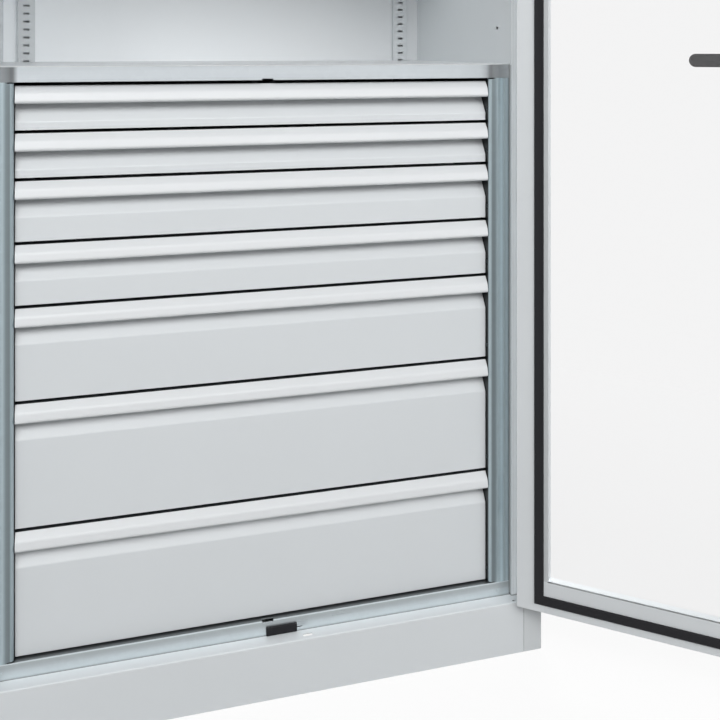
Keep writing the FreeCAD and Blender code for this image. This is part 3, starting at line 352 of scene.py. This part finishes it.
def scaleBase(tree, shader, factor):
    scaled = addNode(tree, "ShaderNodeVectorMath", operation="SCALE")
    tree.links.new(shader.inputs["Base Color"].links[0].from_socket, scaled.inputs[0])
    tree.links.new(factor, scaled.inputs["Scale"])
    wire(tree, scaled, "Vector", shader, "Base Color")


def placeAxes(tree):
    place = addNode(tree, "ShaderNodeTexCoord")
    split = addNode(tree, "ShaderNodeSeparateXYZ")
    wire(tree, place, "Object", split, "Vector")
    return split.outputs["X"], split.outputs["Y"], split.outputs["Z"]


# Painted light and shade: places where a material is painted lighter or darker, its tone there
# and the limits of the place.
# x counts from the middle to either side. Where places overlap, their tones multiply.
paintedLightPlaces = [
    # inner liner, painted lighter
    ("sidePaint", 1.27, {"xUnder": 456.0, "yOver": 21.0, "yUnder": 545.0}),
    # jamb's step, and the outer part of it, painted lighter
    ("sidePaint", 1.03, {"xOver": 442.0, "xUnder": 456.0, "yOver": 21.0, "yUnder": 200.0}),
    ("sidePaint", 1.10, {"xOver": 446.5, "xUnder": 456.0, "yOver": 21.0, "yUnder": 200.0}),
    # painted shade in the seam beside the posts
    ("sidePaint", 0.70, {"xUnder": 441.9, "zUnder": 1040.0, "yUnder": 200.0}),
    # painted shadow of the open door on the foot
    ("sidePaint", 0.89, {"zUnder": 92.0, "yUnder": 5.0}),
    # painted shade in the seam beside the plinth
    ("sidePaint", 0.45, {"xUnder": 455.9, "zUnder": 92.0, "yUnder": 60.0}),
    ("sillPaint", 1.20, {"zOver": 89.5}),  # sill's top, painted lighter as a top face lit from above
    ("sillPaint", 0.35, {"zOver": 89.5, "yOver": 26.8}),  # painted shade in the seam before the lower rail
    # painted reflection of the dark housing on the lower rail's ledge, darker towards the back
    ("lowRailSheet", 0.29, {"zOver": 114.3, "yOver": 30.3}),
    ("lowRailSheet", 0.62, {"zOver": 114.3, "yOver": 34.2}),
    ("lowRailSheet", 0.50, {"zOver": 114.3, "yOver": 37.0}),
    ("shelfPaint", 0.76, {"yUnder": 28.5}),  # painted shade on the front edge
]


def toneWhere(material, tone, limits, places=placeAxes):
    # scales the base colour by tone where every limit holds, and by 1 elsewhere
    tree = material.node_tree
    x, y, z = places(tree)
    across = {"x": mathNode(tree, "ABSOLUTE", x, 0.0), "y": y, "z": z}
    share = 1 - tone
    for limit, value in limits.items():
        operation = "GREATER_THAN" if limit.endswith("Over") else "LESS_THAN"
        test = mathNode(tree, operation, across[limit[0]], value * mm)
        share = mathNode(tree, "MULTIPLY", test, share)
    scaleBase(tree, tree.nodes["Principled BSDF"], mathNode(tree, "SUBTRACT", 1.0, share))


# Bands of painted light along one way, place: tone. Bright metal mirrors what lies round it, so
# the posts and the upper rail's ends carry painted reflection bands, and the lower rail's painted
# reflection fades from its lip to the ledge.
# Painted shade: the back wall darkens to the right.
paintedLightBands = {
    "postSheet": (
        "outward",
        {
            401.0: 0.05,
            402.0: 1.25,
            404.4: 1.22,
            406.4: 0.80,
            408.0: 0.54,
            413.0: 0.64,
            419.0: 1.48,
            426.0: 2.25,
            429.0: 1.85,
            430.5: 1.30,
            432.0: 1.08,
            436.0: 1.52,
            439.0: 1.10,
            440.0: 0.65,
        },
    ),
    "railSheet": (
        "rightward",
        {
            -440.0: 0.70,
            -410.0: 0.32,
            -404.0: 0.18,
            -401.0: 0.30,
            -396.0: 0.86,
            0.0: 0.83,
            200.0: 0.79,
            340.0: 0.74,
            384.0: 0.68,
            396.0: 0.52,
            401.0: 0.30,
            404.0: 0.18,
            410.0: 0.30,
            425.0: 0.45,
            436.0: 0.66,
            440.0: 0.72,
        },
    ),
    "lowRailSheet": (
        "upward",
        {
            90.0: 0.90,
            91.8: 1.06,
            94.0: 1.10,
            97.0: 1.04,
            101.3: 0.95,
            104.6: 0.79,
            108.0: 0.69,
            112.6: 0.68,
            113.2: 1.07,
        },
    ),
    "wallPaint": (
        "rightward",
        {
            -440.0: 1.24,
            -330.0: 1.08,
            -230.0: 0.98,
            0.0: 0.93,
            200.0: 0.90,
        },
    ),
}


def shadeBands(material, way, bands):
    tree = material.node_tree
    x, y, z = placeAxes(tree)
    if way == "outward":  # from the middle to either side
        across = mathNode(tree, "ABSOLUTE", x, 0.0)
    else:
        across = {"rightward": x, "upward": z}[way]
    low, high = min(bands), max(bands)
    share = addNode(tree, "ShaderNodeMapRange")
    share.inputs["From Min"].default_value = low * mm
    share.inputs["From Max"].default_value = high * mm
    tree.links.new(across, share.inputs["Value"])
    ramp = addNode(tree, "ShaderNodeValToRGB")
    wire(tree, share, "Result", ramp, "Fac")
    marks = ramp.color_ramp.elements
    marks.remove(marks[1])
    for at, tone in bands.items():
        mark = marks[0] if at == low else marks.new((at - low) / (high - low))
        mark.color = (tone, tone, tone, 1)
    scaleBase(tree, tree.nodes["Principled BSDF"], ramp.outputs["Color"])


materials = {name: paint(name, values) for name, values in paintValues.items()}
materials.update({name: sheetMetal(name, values) for name, values in sheetValues.items()})
materials.update({name: darkMaterial(name, values) for name, values in darkValues.items()})
materials["clearPane"] = clearPane("clearPane", paneValues)
for name, tone, limits in paintedLightPlaces:
    toneWhere(materials[name], tone, limits)
for name, (way, bands) in paintedLightBands.items():
    shadeBands(materials[name], way, bands)
print("materials:", len(materials))


# Every folded edge gets a small round, and the flat faces stay flat.
foldValues = {
    "segments": 2,
    "sharpDegrees": 35,  # an edge sharper than this is rounded
    "weldDistance": 0.01,
    "flatDegrees": 0.5,  # triangles this flat to each other become one face
    "faceWeight": 100,  # the larger faces set the shading
}
samePlace = 0.1 * mm
squarely = 0.99  # a face looks along an axis where its normal has at least this much of it


def soften(piece, width):
    edge = piece.modifiers.new("foldEdges", "BEVEL")
    edge.width = width * mm
    edge.segments = foldValues["segments"]
    edge.limit_method = "ANGLE"
    edge.angle_limit = math.radians(foldValues["sharpDegrees"])
    edge.harden_normals = False
    flat = piece.modifiers.new("flatFaces", "WEIGHTED_NORMAL")
    flat.keep_sharp = True
    flat.weight = foldValues["faceWeight"]


def addPiece(name, bm, body, materialNames, nodes, bevel):
    mesh = bpy.data.meshes.new(name)
    bm.to_mesh(mesh)
    bm.free()
    for materialName in materialNames:
        mesh.materials.append(materials[materialName])
    mesh.shade_smooth()
    piece = bpy.data.objects.new(name, mesh)
    scene.collection.objects.link(piece)
    soften(piece, bevel)
    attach(piece, body)
    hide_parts(*nodes)


def extrudeFaces(bm, faces, step, keepFaces=False):
    # returns the new vertices, already moved by step
    made = bmesh.ops.extrude_face_region(bm, geom=faces, use_keep_orig=keepFaces)
    moved = [part for part in made["geom"] if isinstance(part, bmesh.types.BMVert)]
    bmesh.ops.translate(bm, verts=moved, vec=step)
    return moved


def sweepAlongX(outline, low, high):
    # closed outline of (y, z) points, swept from low to high
    bm = bmesh.new()
    bm.faces.new([bm.verts.new((low, y, z)) for y, z in outline])
    extrudeFaces(bm, bm.faces[:], (high - low, 0, 0))
    bmesh.ops.recalc_face_normals(bm, faces=bm.faces[:])
    return bm


def roundEdges(bm, edges, radius, segments):
    bmesh.ops.bevel(
        bm,
        geom=edges,
        offset=radius,
        segments=segments,
        profile=0.5,
        affect="EDGES",
        material=-1,
    )


# Nodes that keep their CAD shape: material, width of the rounded folds.
keptNodes = {
    "side_panel_left": ("sidePaint", 0.5),
    "side_panel_right": ("sidePaint", 0.5),
    "top_panel": ("carcassPaint", 0.6),
    "back_panel": ("wallPaint", 0.6),
    "plinth_sill": ("sillPaint", 0.4),
    "base_panel": ("carcassPaint", 0.5),
    "divider_shelf": ("shelfPaint", 0.2),
    "shelf_lower": ("carcassPaint", 0.6),
    "shelf_upper": ("carcassPaint", 0.6),
    "rear_uprights": ("carcassPaint", 0.5),
    "housing_side_left": ("postSheet", 0.5),
    "housing_side_right": ("postSheet", 0.5),
    "bottom_rail": ("lowRailSheet", 0.5),
    "top_rail": ("railSheet", 0.4),
    "rail_screws": ("lowRailSheet", 0.25),
    "door_bumper": ("blackRubber", 0.8),
    "fixed_runners": ("slideSteel", 0.4),
    "shelf_clips": ("slideSteel", 0.4),
    "hinge_leaves": ("carcassPaint", 0.4),
    "hinge_pins": ("slideSteel", 0.3),
    "door_left_frame": ("doorPaint", 0.6),
    "door_right_frame": ("doorPaint", 0.6),
    "door_left_pane": ("clearPane", 0.0),
    "door_right_pane": ("clearPane", 0.0),
    "lock_plate": ("blackPlastic", 1.0),
    "lock_case": ("slideSteel", 0.5),
    "lock_lever": ("blackPlastic", 1.5),
    "lock_cylinder": ("lockChrome", 0.4),
    "lock_rod_lower": ("slideSteel", 0.5),
    "lock_rod_upper": ("slideSteel", 0.5),
}
drawerCount = 7
for number in range(1, drawerCount + 1):
    keptNodes[f"drawer_{number}_tray"] = ("trayPaint", 0.3)
    keptNodes[f"drawer_{number}_slides"] = ("slideSteel", 0.4)


def dressNode(name, materialName, width):
    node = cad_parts[name]
    node.data.materials.clear()
    node.data.materials.append(materials[materialName])
    if width:
        weld = node.modifiers.new("joinTriangles", "WELD")
        weld.merge_threshold = foldValues["weldDistance"] * mm
        planar = node.modifiers.new("planar", "DECIMATE")
        planar.decimate_type = "DISSOLVE"
        planar.angle_limit = math.radians(foldValues["flatDegrees"])
        soften(node, width)


for nodeName, (materialName, width) in keptNodes.items():
    dressNode(nodeName, materialName, width)
print("kept nodes dressed:", len(keptNodes))


# A place on the handle strip is (before the drawer's face, below the strip's top).
gripValues = {
    "top": (0.4, 0.0),
    "bend": (9.8, 11.7),
    "bendReach": 3.5,  # how far the bend's rounding runs to each side
    "bendSteps": 6,
    "full": (12.5, 22.4),
    "curl": (13.3, 27.4),  # pulls the lower edge round
    "lip": (7.2, 28.0),
    "curlSteps": 8,
    "wall": 2.4,
    "frontWalls": 1.6,  # the front is this many walls thick at the channel's roof
    "rim": 2.0,  # the channel's faces lie this far inside the strip, up and down
    "paintedTop": 0.6,  # grip-paint edge on top, before the gap's painted shade
    "fold": 0.4,
}


def roundedCorner(before, corner, after, steps):
    # points from before to after that hug the corner
    points = []
    for step in range(steps + 1):
        share = step / steps
        points.append(tuple(
            a * (1 - share) ** 2 + b * 2 * share * (1 - share) + c * share**2
            for a, b, c in zip(before, corner, after)
        ))
    return points


def handleStrip(number):
    values = gripValues
    low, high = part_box(f"drawer_{number}_grip")
    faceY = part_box(f"drawer_{number}_front")[0].y
    wall = values["wall"] * mm

    def spot(name):
        proud, down = values[name]
        return Vector((faceY - proud * mm, high.z - down * mm))

    top, bend, full, lip = (spot(name) for name in ("top", "bend", "full", "lip"))
    reach = values["bendReach"] * mm
    start = bend + (top - bend).normalized() * reach
    end = bend + (full - bend).normalized() * reach
    painted = top.x + values["paintedTop"] * mm
    outline = [(high.y, low.z), (high.y, high.z), (painted, high.z), tuple(top)]
    outline += roundedCorner(start, bend, end, values["bendSteps"])
    outline += roundedCorner(full, spot("curl"), lip, values["curlSteps"])
    bm = sweepAlongX(outline, low.x, high.x)
    # finger channel: the underside is inset and pushed up inside
    level = [face for face in bm.faces if abs(face.normal.z) > squarely]
    under = min(level, key=lambda face: face.calc_center_median().z)
    bmesh.ops.inset_region(bm, faces=[under], thickness=wall)
    roof = extrudeFaces(bm, [under], (0, 0, high.z - low.z - wall))
    bmesh.ops.delete(bm, geom=[under], context="FACES")
    frontRow = [v for v in roof if v.co.y < (low.y + high.y) / 2]
    shift = top.x + wall * values["frontWalls"] - frontRow[0].co.y
    bmesh.ops.translate(bm, verts=frontRow, vec=(0, shift, 0))
    rim = values["rim"] * mm
    # painted shade: the channel's level faces inside and the top behind the painted edge take
    # gapShade
    for face in bm.faces:
        centre = face.calc_center_median()
        inside = low.z + rim < centre.z < high.z - rim and abs(face.normal.z) > squarely
        onTop = centre.z > high.z - samePlace and centre.y > painted
        face.material_index = 1 if inside or onTop else 0
    addPiece(
        f"handleStrip{number}",
        bm,
        f"drawer_{number}",
        ["gripPaint", "gapShade"],
        [f"drawer_{number}_grip"],
        bevel=values["fold"],
    )


frontValues = {
    "recessDeep": 19.0,
    "stripHigh": 28.0,
    "slopeFoot": 57.0,  # front's top down to the foot of the slope
    "creaseRadius": 1.6,
    "lowerEdgeRadius": 0.25,
    "fold": 0.4,
}


def drawerFront(number):
    values = {key: value * mm for key, value in frontValues.items()}
    low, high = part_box(f"drawer_{number}_front")
    recess = low.y + values["recessDeep"]
    outline = [
        (low.y, low.z),
        (high.y, low.z),
        (high.y, high.z),
        (recess, high.z),
        (recess, high.z - values["stripHigh"]),
        (low.y, high.z - values["slopeFoot"]),
    ]
    bm = sweepAlongX(outline, low.x, high.x)
    crease = high.z - values["slopeFoot"]
    for level, radius in ((crease, values["creaseRadius"]), (low.z, values["lowerEdgeRadius"])):
        spot = Vector((low.y, level))
        edges = [e for e in bm.edges if all((v.co.yz - spot).length < samePlace for v in e.verts)]
        roundEdges(bm, edges, radius, segments=4)
    addPiece(
        f"drawerFront{number}",
        bm,
        f"drawer_{number}",
        ["drawerPaint"],
        [f"drawer_{number}_front"],
        bevel=frontValues["fold"],
    )


for number in range(1, drawerCount + 1):
    drawerFront(number)
    handleStrip(number)
print("drawers dressed")


# The doors stand open at rest, and their values are those of a shut door.
doorValues = {
    "openDegrees": 137.5,
    "hinge": (450.5, -0.6),  # right hinge axis seen from above
    "free": 1.5,  # free edge from the middle
    "edge": 452.5,  # hinged edge from the middle
    "innerFace": 20.5,
    "low": 92.0,
    "high": 1913.0,
}
sealValues = {
    "wide": 15.6,  # along the bottom and the top
    "sideWide": 16.5,
    "thick": 3.2,
    "side": 31.6,  # hinged edge to the seal
    "lockSide": 62.0,  # free edge to the seal
    "end": 13.8,  # lower and upper edge to the seal
    "roundEdge": 1.1,
    "groove": 0.9,
    "grooveInset": 5.0,
    "fold": 0.3,
}


def swingOpen(bm, side):
    # from the shut door's place to the open one
    hinge = Vector((doorValues["hinge"][0] * side, doorValues["hinge"][1], 0)) * mm
    turn = Matrix.Rotation(math.radians(doorValues["openDegrees"]) * side, 3, "Z")
    bmesh.ops.rotate(bm, verts=bm.verts[:], cent=hinge, matrix=turn)


def shutAxes(tree):
    # where a point of the open door lies when the door is shut
    x, y, z = placeAxes(tree)
    hingeX, hingeY = (value * mm for value in doorValues["hinge"])
    turn = math.radians(doorValues["openDegrees"])
    along = mathNode(tree, "SUBTRACT", mathNode(tree, "ABSOLUTE", x, 0.0), hingeX)
    ahead = mathNode(tree, "SUBTRACT", y, hingeY)
    shutX = mathNode(
        tree,
        "ADD",
        mathNode(tree, "MULTIPLY", along, math.cos(turn)),
        mathNode(tree, "MULTIPLY", ahead, math.sin(turn)),
    )
    shutY = mathNode(
        tree,
        "SUBTRACT",
        mathNode(tree, "MULTIPLY", ahead, math.cos(turn)),
        mathNode(tree, "MULTIPLY", along, math.sin(turn)),
    )
    return (
        mathNode(tree, "ADD", shutX, hingeX),
        mathNode(tree, "ADD", shutY, hingeY),
        z,
    )


# Painted light and shade round the window, with the limits of a shut door.
doorPaintedLight = [
    # strip in the seal's shade
    (0.74, {"xOver": 397.2, "xUnder": 406.0, "yOver": 20.0, "zOver": 146.5}),
    # painted highlight on the window's side and lower edges behind the pane
    (1.55, {"xOver": 396.4, "xUnder": 397.8, "yUnder": 19.4}),
    (1.55, {"xUnder": 397.8, "yUnder": 19.4, "zOver": 145.8, "zUnder": 146.6}),
    # painted shade in the seam under the pane
    (0.30, {"xUnder": 397.8, "yOver": 19.2, "zOver": 145.6, "zUnder": 146.6}),
    # painted shade, slightly darker, on the strip under the window
    (0.96, {"xUnder": 404.0, "yOver": 20.0, "zUnder": 145.6}),
]
for tone, limits in doorPaintedLight:
    toneWhere(materials["doorPaint"], tone, limits, shutAxes)


def doorSeal(word, side):
    values = {key: value * mm for key, value in sealValues.items()}
    near = doorValues["free"] * mm + values["lockSide"]
    far = doorValues["edge"] * mm - values["side"]
    low = doorValues["low"] * mm + values["end"]
    high = doorValues["high"] * mm - values["end"]
    back = doorValues["innerFace"] * mm
    wide, across = values["wide"], values["sideWide"]
    outer = [(near, low), (far, low), (far, high), (near, high)]
    inner = [
        (near + across, low + wide),
        (far - across, low + wide),
        (far - across, high - wide),
        (near + across, high - wide),
    ]
    bm = bmesh.new()
    outerSpots = [bm.verts.new((x * side, back, z)) for x, z in outer]
    innerSpots = [bm.verts.new((x * side, back, z)) for x, z in inner]
    for one in range(len(outer)):
        two = (one + 1) % len(outer)
        bm.faces.new((outerSpots[one], outerSpots[two], innerSpots[two], innerSpots[one]))
    extrudeFaces(bm, bm.faces[:], (0, values["thick"], 0), keepFaces=True)
    bmesh.ops.recalc_face_normals(bm, faces=bm.faces[:])
    crown = [f for f in bm.faces if min(v.co.y for v in f.verts) > back + values["thick"] / 2]
    rim = [e for e in bm.edges if len([f for f in e.link_faces if f in crown]) == 1]
    roundEdges(bm, rim, values["roundEdge"], segments=3)
    bm.normal_update()
    crown = [f for f in bm.faces if f.normal.y > squarely]
    inset, groove = values["grooveInset"], values["groove"]
    bmesh.ops.inset_region(bm, faces=crown, thickness=inset, depth=-groove)
    swingOpen(bm, side)
    addPiece(
        f"{word}DoorSeal",
        bm,
        f"{word}_door",
        ["blackRubber"],
        [f"door_{word}_gasket"],
        bevel=sealValues["fold"],
    )


for word, side in (("left", -1), ("right", 1)):
    doorSeal(word, side)
print("door seals made")


# The studio's lengths are metres.
studioValues = {
    "floorSize": 30.0,
    "paper": 0.86,
    "bounce": 0.60,  # the paper's tone for light that it throws back up
    "paperRough": (0.85, 0.95),
    "paperGrain": 40.0,
    "paperGloss": 0.1,
    "shadowShare": 0.10,  # share of the lit floor seen by the cabinet, the rest is plain white
    "fadeStart": 0.7,  # from the cabinet's origin to where that share starts to fall
    "fadeEnd": 1.9,
    "skyStrength": 0.14,
    "groundStrength": 0.3,
    "horizonSpread": 0.4,  # how far sky and ground run into each other
    "lights": {
        # place, aim, width, height, watts
        "keySoftbox": ((-1.5, -3.5, 3.3), (0.0, 0.2, 0.8), 2.2, 1.8, 99.0),
        "middleSoftbox": ((0.5, -3.7, 2.9), (0.0, 0.2, 0.8), 2.2, 1.6, 52.0),
        "rightSoftbox": ((2.1, -3.0, 1.9), (0.0, 0.2, 0.9), 1.6, 1.4, 26.0),
        "topSoftbox": ((0.2, -2.3, 3.9), (0.0, 0.1, 0.8), 3.5, 1.8, 16.0),
        # the cabinet keeps these two off its front
        "backSoftbox": ((1.6, 3.4, 2.5), (0.1, 0.4, 0.9), 2.2, 1.8, 75.0),
        "sideSoftbox": ((-3.2, 1.9, 2.1), (-0.4, 0.4, 0.9), 1.8, 1.6, 50.0),
    },
}


def seenRays(tree):
    # rays from the camera, from mirror-like surfaces and through the panes
    rays = addNode(tree, "ShaderNodeLightPath").outputs
    seen = mathNode(tree, "MAXIMUM", rays["Is Camera Ray"], rays["Is Glossy Ray"])
    return mathNode(tree, "MAXIMUM", seen, rays["Is Transmission Ray"])


def studioFloor(values):
    bm = bmesh.new()
    bmesh.ops.create_grid(bm, x_segments=2, y_segments=2, size=values["floorSize"] / 2)
    mesh = bpy.data.meshes.new("floor")
    bm.to_mesh(mesh)
    bm.free()
    floor = bpy.data.objects.new("floor", mesh)
    scene.collection.objects.link(floor)
    material, tree, shader = newMaterial("floorPaper")
    place = addNode(tree, "ShaderNodeTexCoord")
    grain = addNode(tree, "ShaderNodeTexNoise", in_Scale=values["paperGrain"])
    wire(tree, place, "Object", grain, "Vector")
    smooth, rough = values["paperRough"]
    spread = addNode(tree, "ShaderNodeMapRange", in_To_Min=smooth, in_To_Max=rough)
    wire(tree, grain, "Fac", spread, "Value")
    wire(tree, spread, "Result", shader, "Roughness")
    shader.inputs["Specular IOR Level"].default_value = values["paperGloss"]
    path = addNode(tree, "ShaderNodeLightPath")
    tone = addNode(tree, "ShaderNodeMapRange")
    tone.inputs["To Min"].default_value = values["paper"]
    tone.inputs["To Max"].default_value = values["bounce"]
    wire(tree, path, "Is Diffuse Ray", tone, "Value")
    wire(tree, tone, "Result", shader, "Base Color")
    white = addNode(tree, "ShaderNodeEmission")
    away = addNode(tree, "ShaderNodeVectorMath", operation="LENGTH")
    wire(tree, place, "Object", away, 0)
    fade = addNode(tree, "ShaderNodeMapRange", interpolation_type="SMOOTHSTEP")
    fade.inputs["From Min"].default_value = values["fadeStart"]
    fade.inputs["From Max"].default_value = values["fadeEnd"]
    fade.inputs["To Min"].default_value = 1 - values["shadowShare"]
    wire(tree, away, "Value", fade, "Value")
    share = mathNode(tree, "MULTIPLY", seenRays(tree), fade.outputs["Result"])
    mixShaders(tree, share, shader, white)
    mesh.materials.append(material)


def studioWorld(values):
    world = bpy.data.worlds.new("studio")
    scene.world = world
    world.use_nodes = True
    tree = world.node_tree
    background = tree.nodes["Background"]
    background.inputs["Color"].default_value = (1, 1, 1, 1)
    direction = addNode(tree, "ShaderNodeTexCoord")
    split = addNode(tree, "ShaderNodeSeparateXYZ")
    wire(tree, direction, "Generated", split, "Vector")
    sky = addNode(tree, "ShaderNodeMapRange", interpolation_type="SMOOTHSTEP")
    sky.inputs["From Min"].default_value = -values["horizonSpread"]
    sky.inputs["From Max"].default_value = values["horizonSpread"]
    sky.inputs["To Min"].default_value = values["groundStrength"]
    sky.inputs["To Max"].default_value = values["skyStrength"]
    wire(tree, split, "Z", sky, "Value")
    strength = addNode(tree, "ShaderNodeMapRange", in_To_Max=1.0)
    tree.links.new(seenRays(tree), strength.inputs["Value"])
    wire(tree, sky, "Result", strength, "To Min")
    wire(tree, strength, "Result", background, "Strength")


def studioLights(values):
    for name, (place, aim, width, height, watts) in values["lights"].items():
        data = bpy.data.lights.new(name, "AREA")
        data.shape = "RECTANGLE"
        data.size = width
        data.size_y = height
        data.energy = watts
        light = bpy.data.objects.new(name, data)
        light.location = place
        light.rotation_euler = (Vector(aim) - Vector(place)).to_track_quat("-Z", "Y").to_euler()
        light.visible_camera = False
        scene.collection.objects.link(light)


studioFloor(studioValues)
studioWorld(studioValues)
studioLights(studioValues)
scene.view_settings.view_transform = "Standard"
print("studio set")
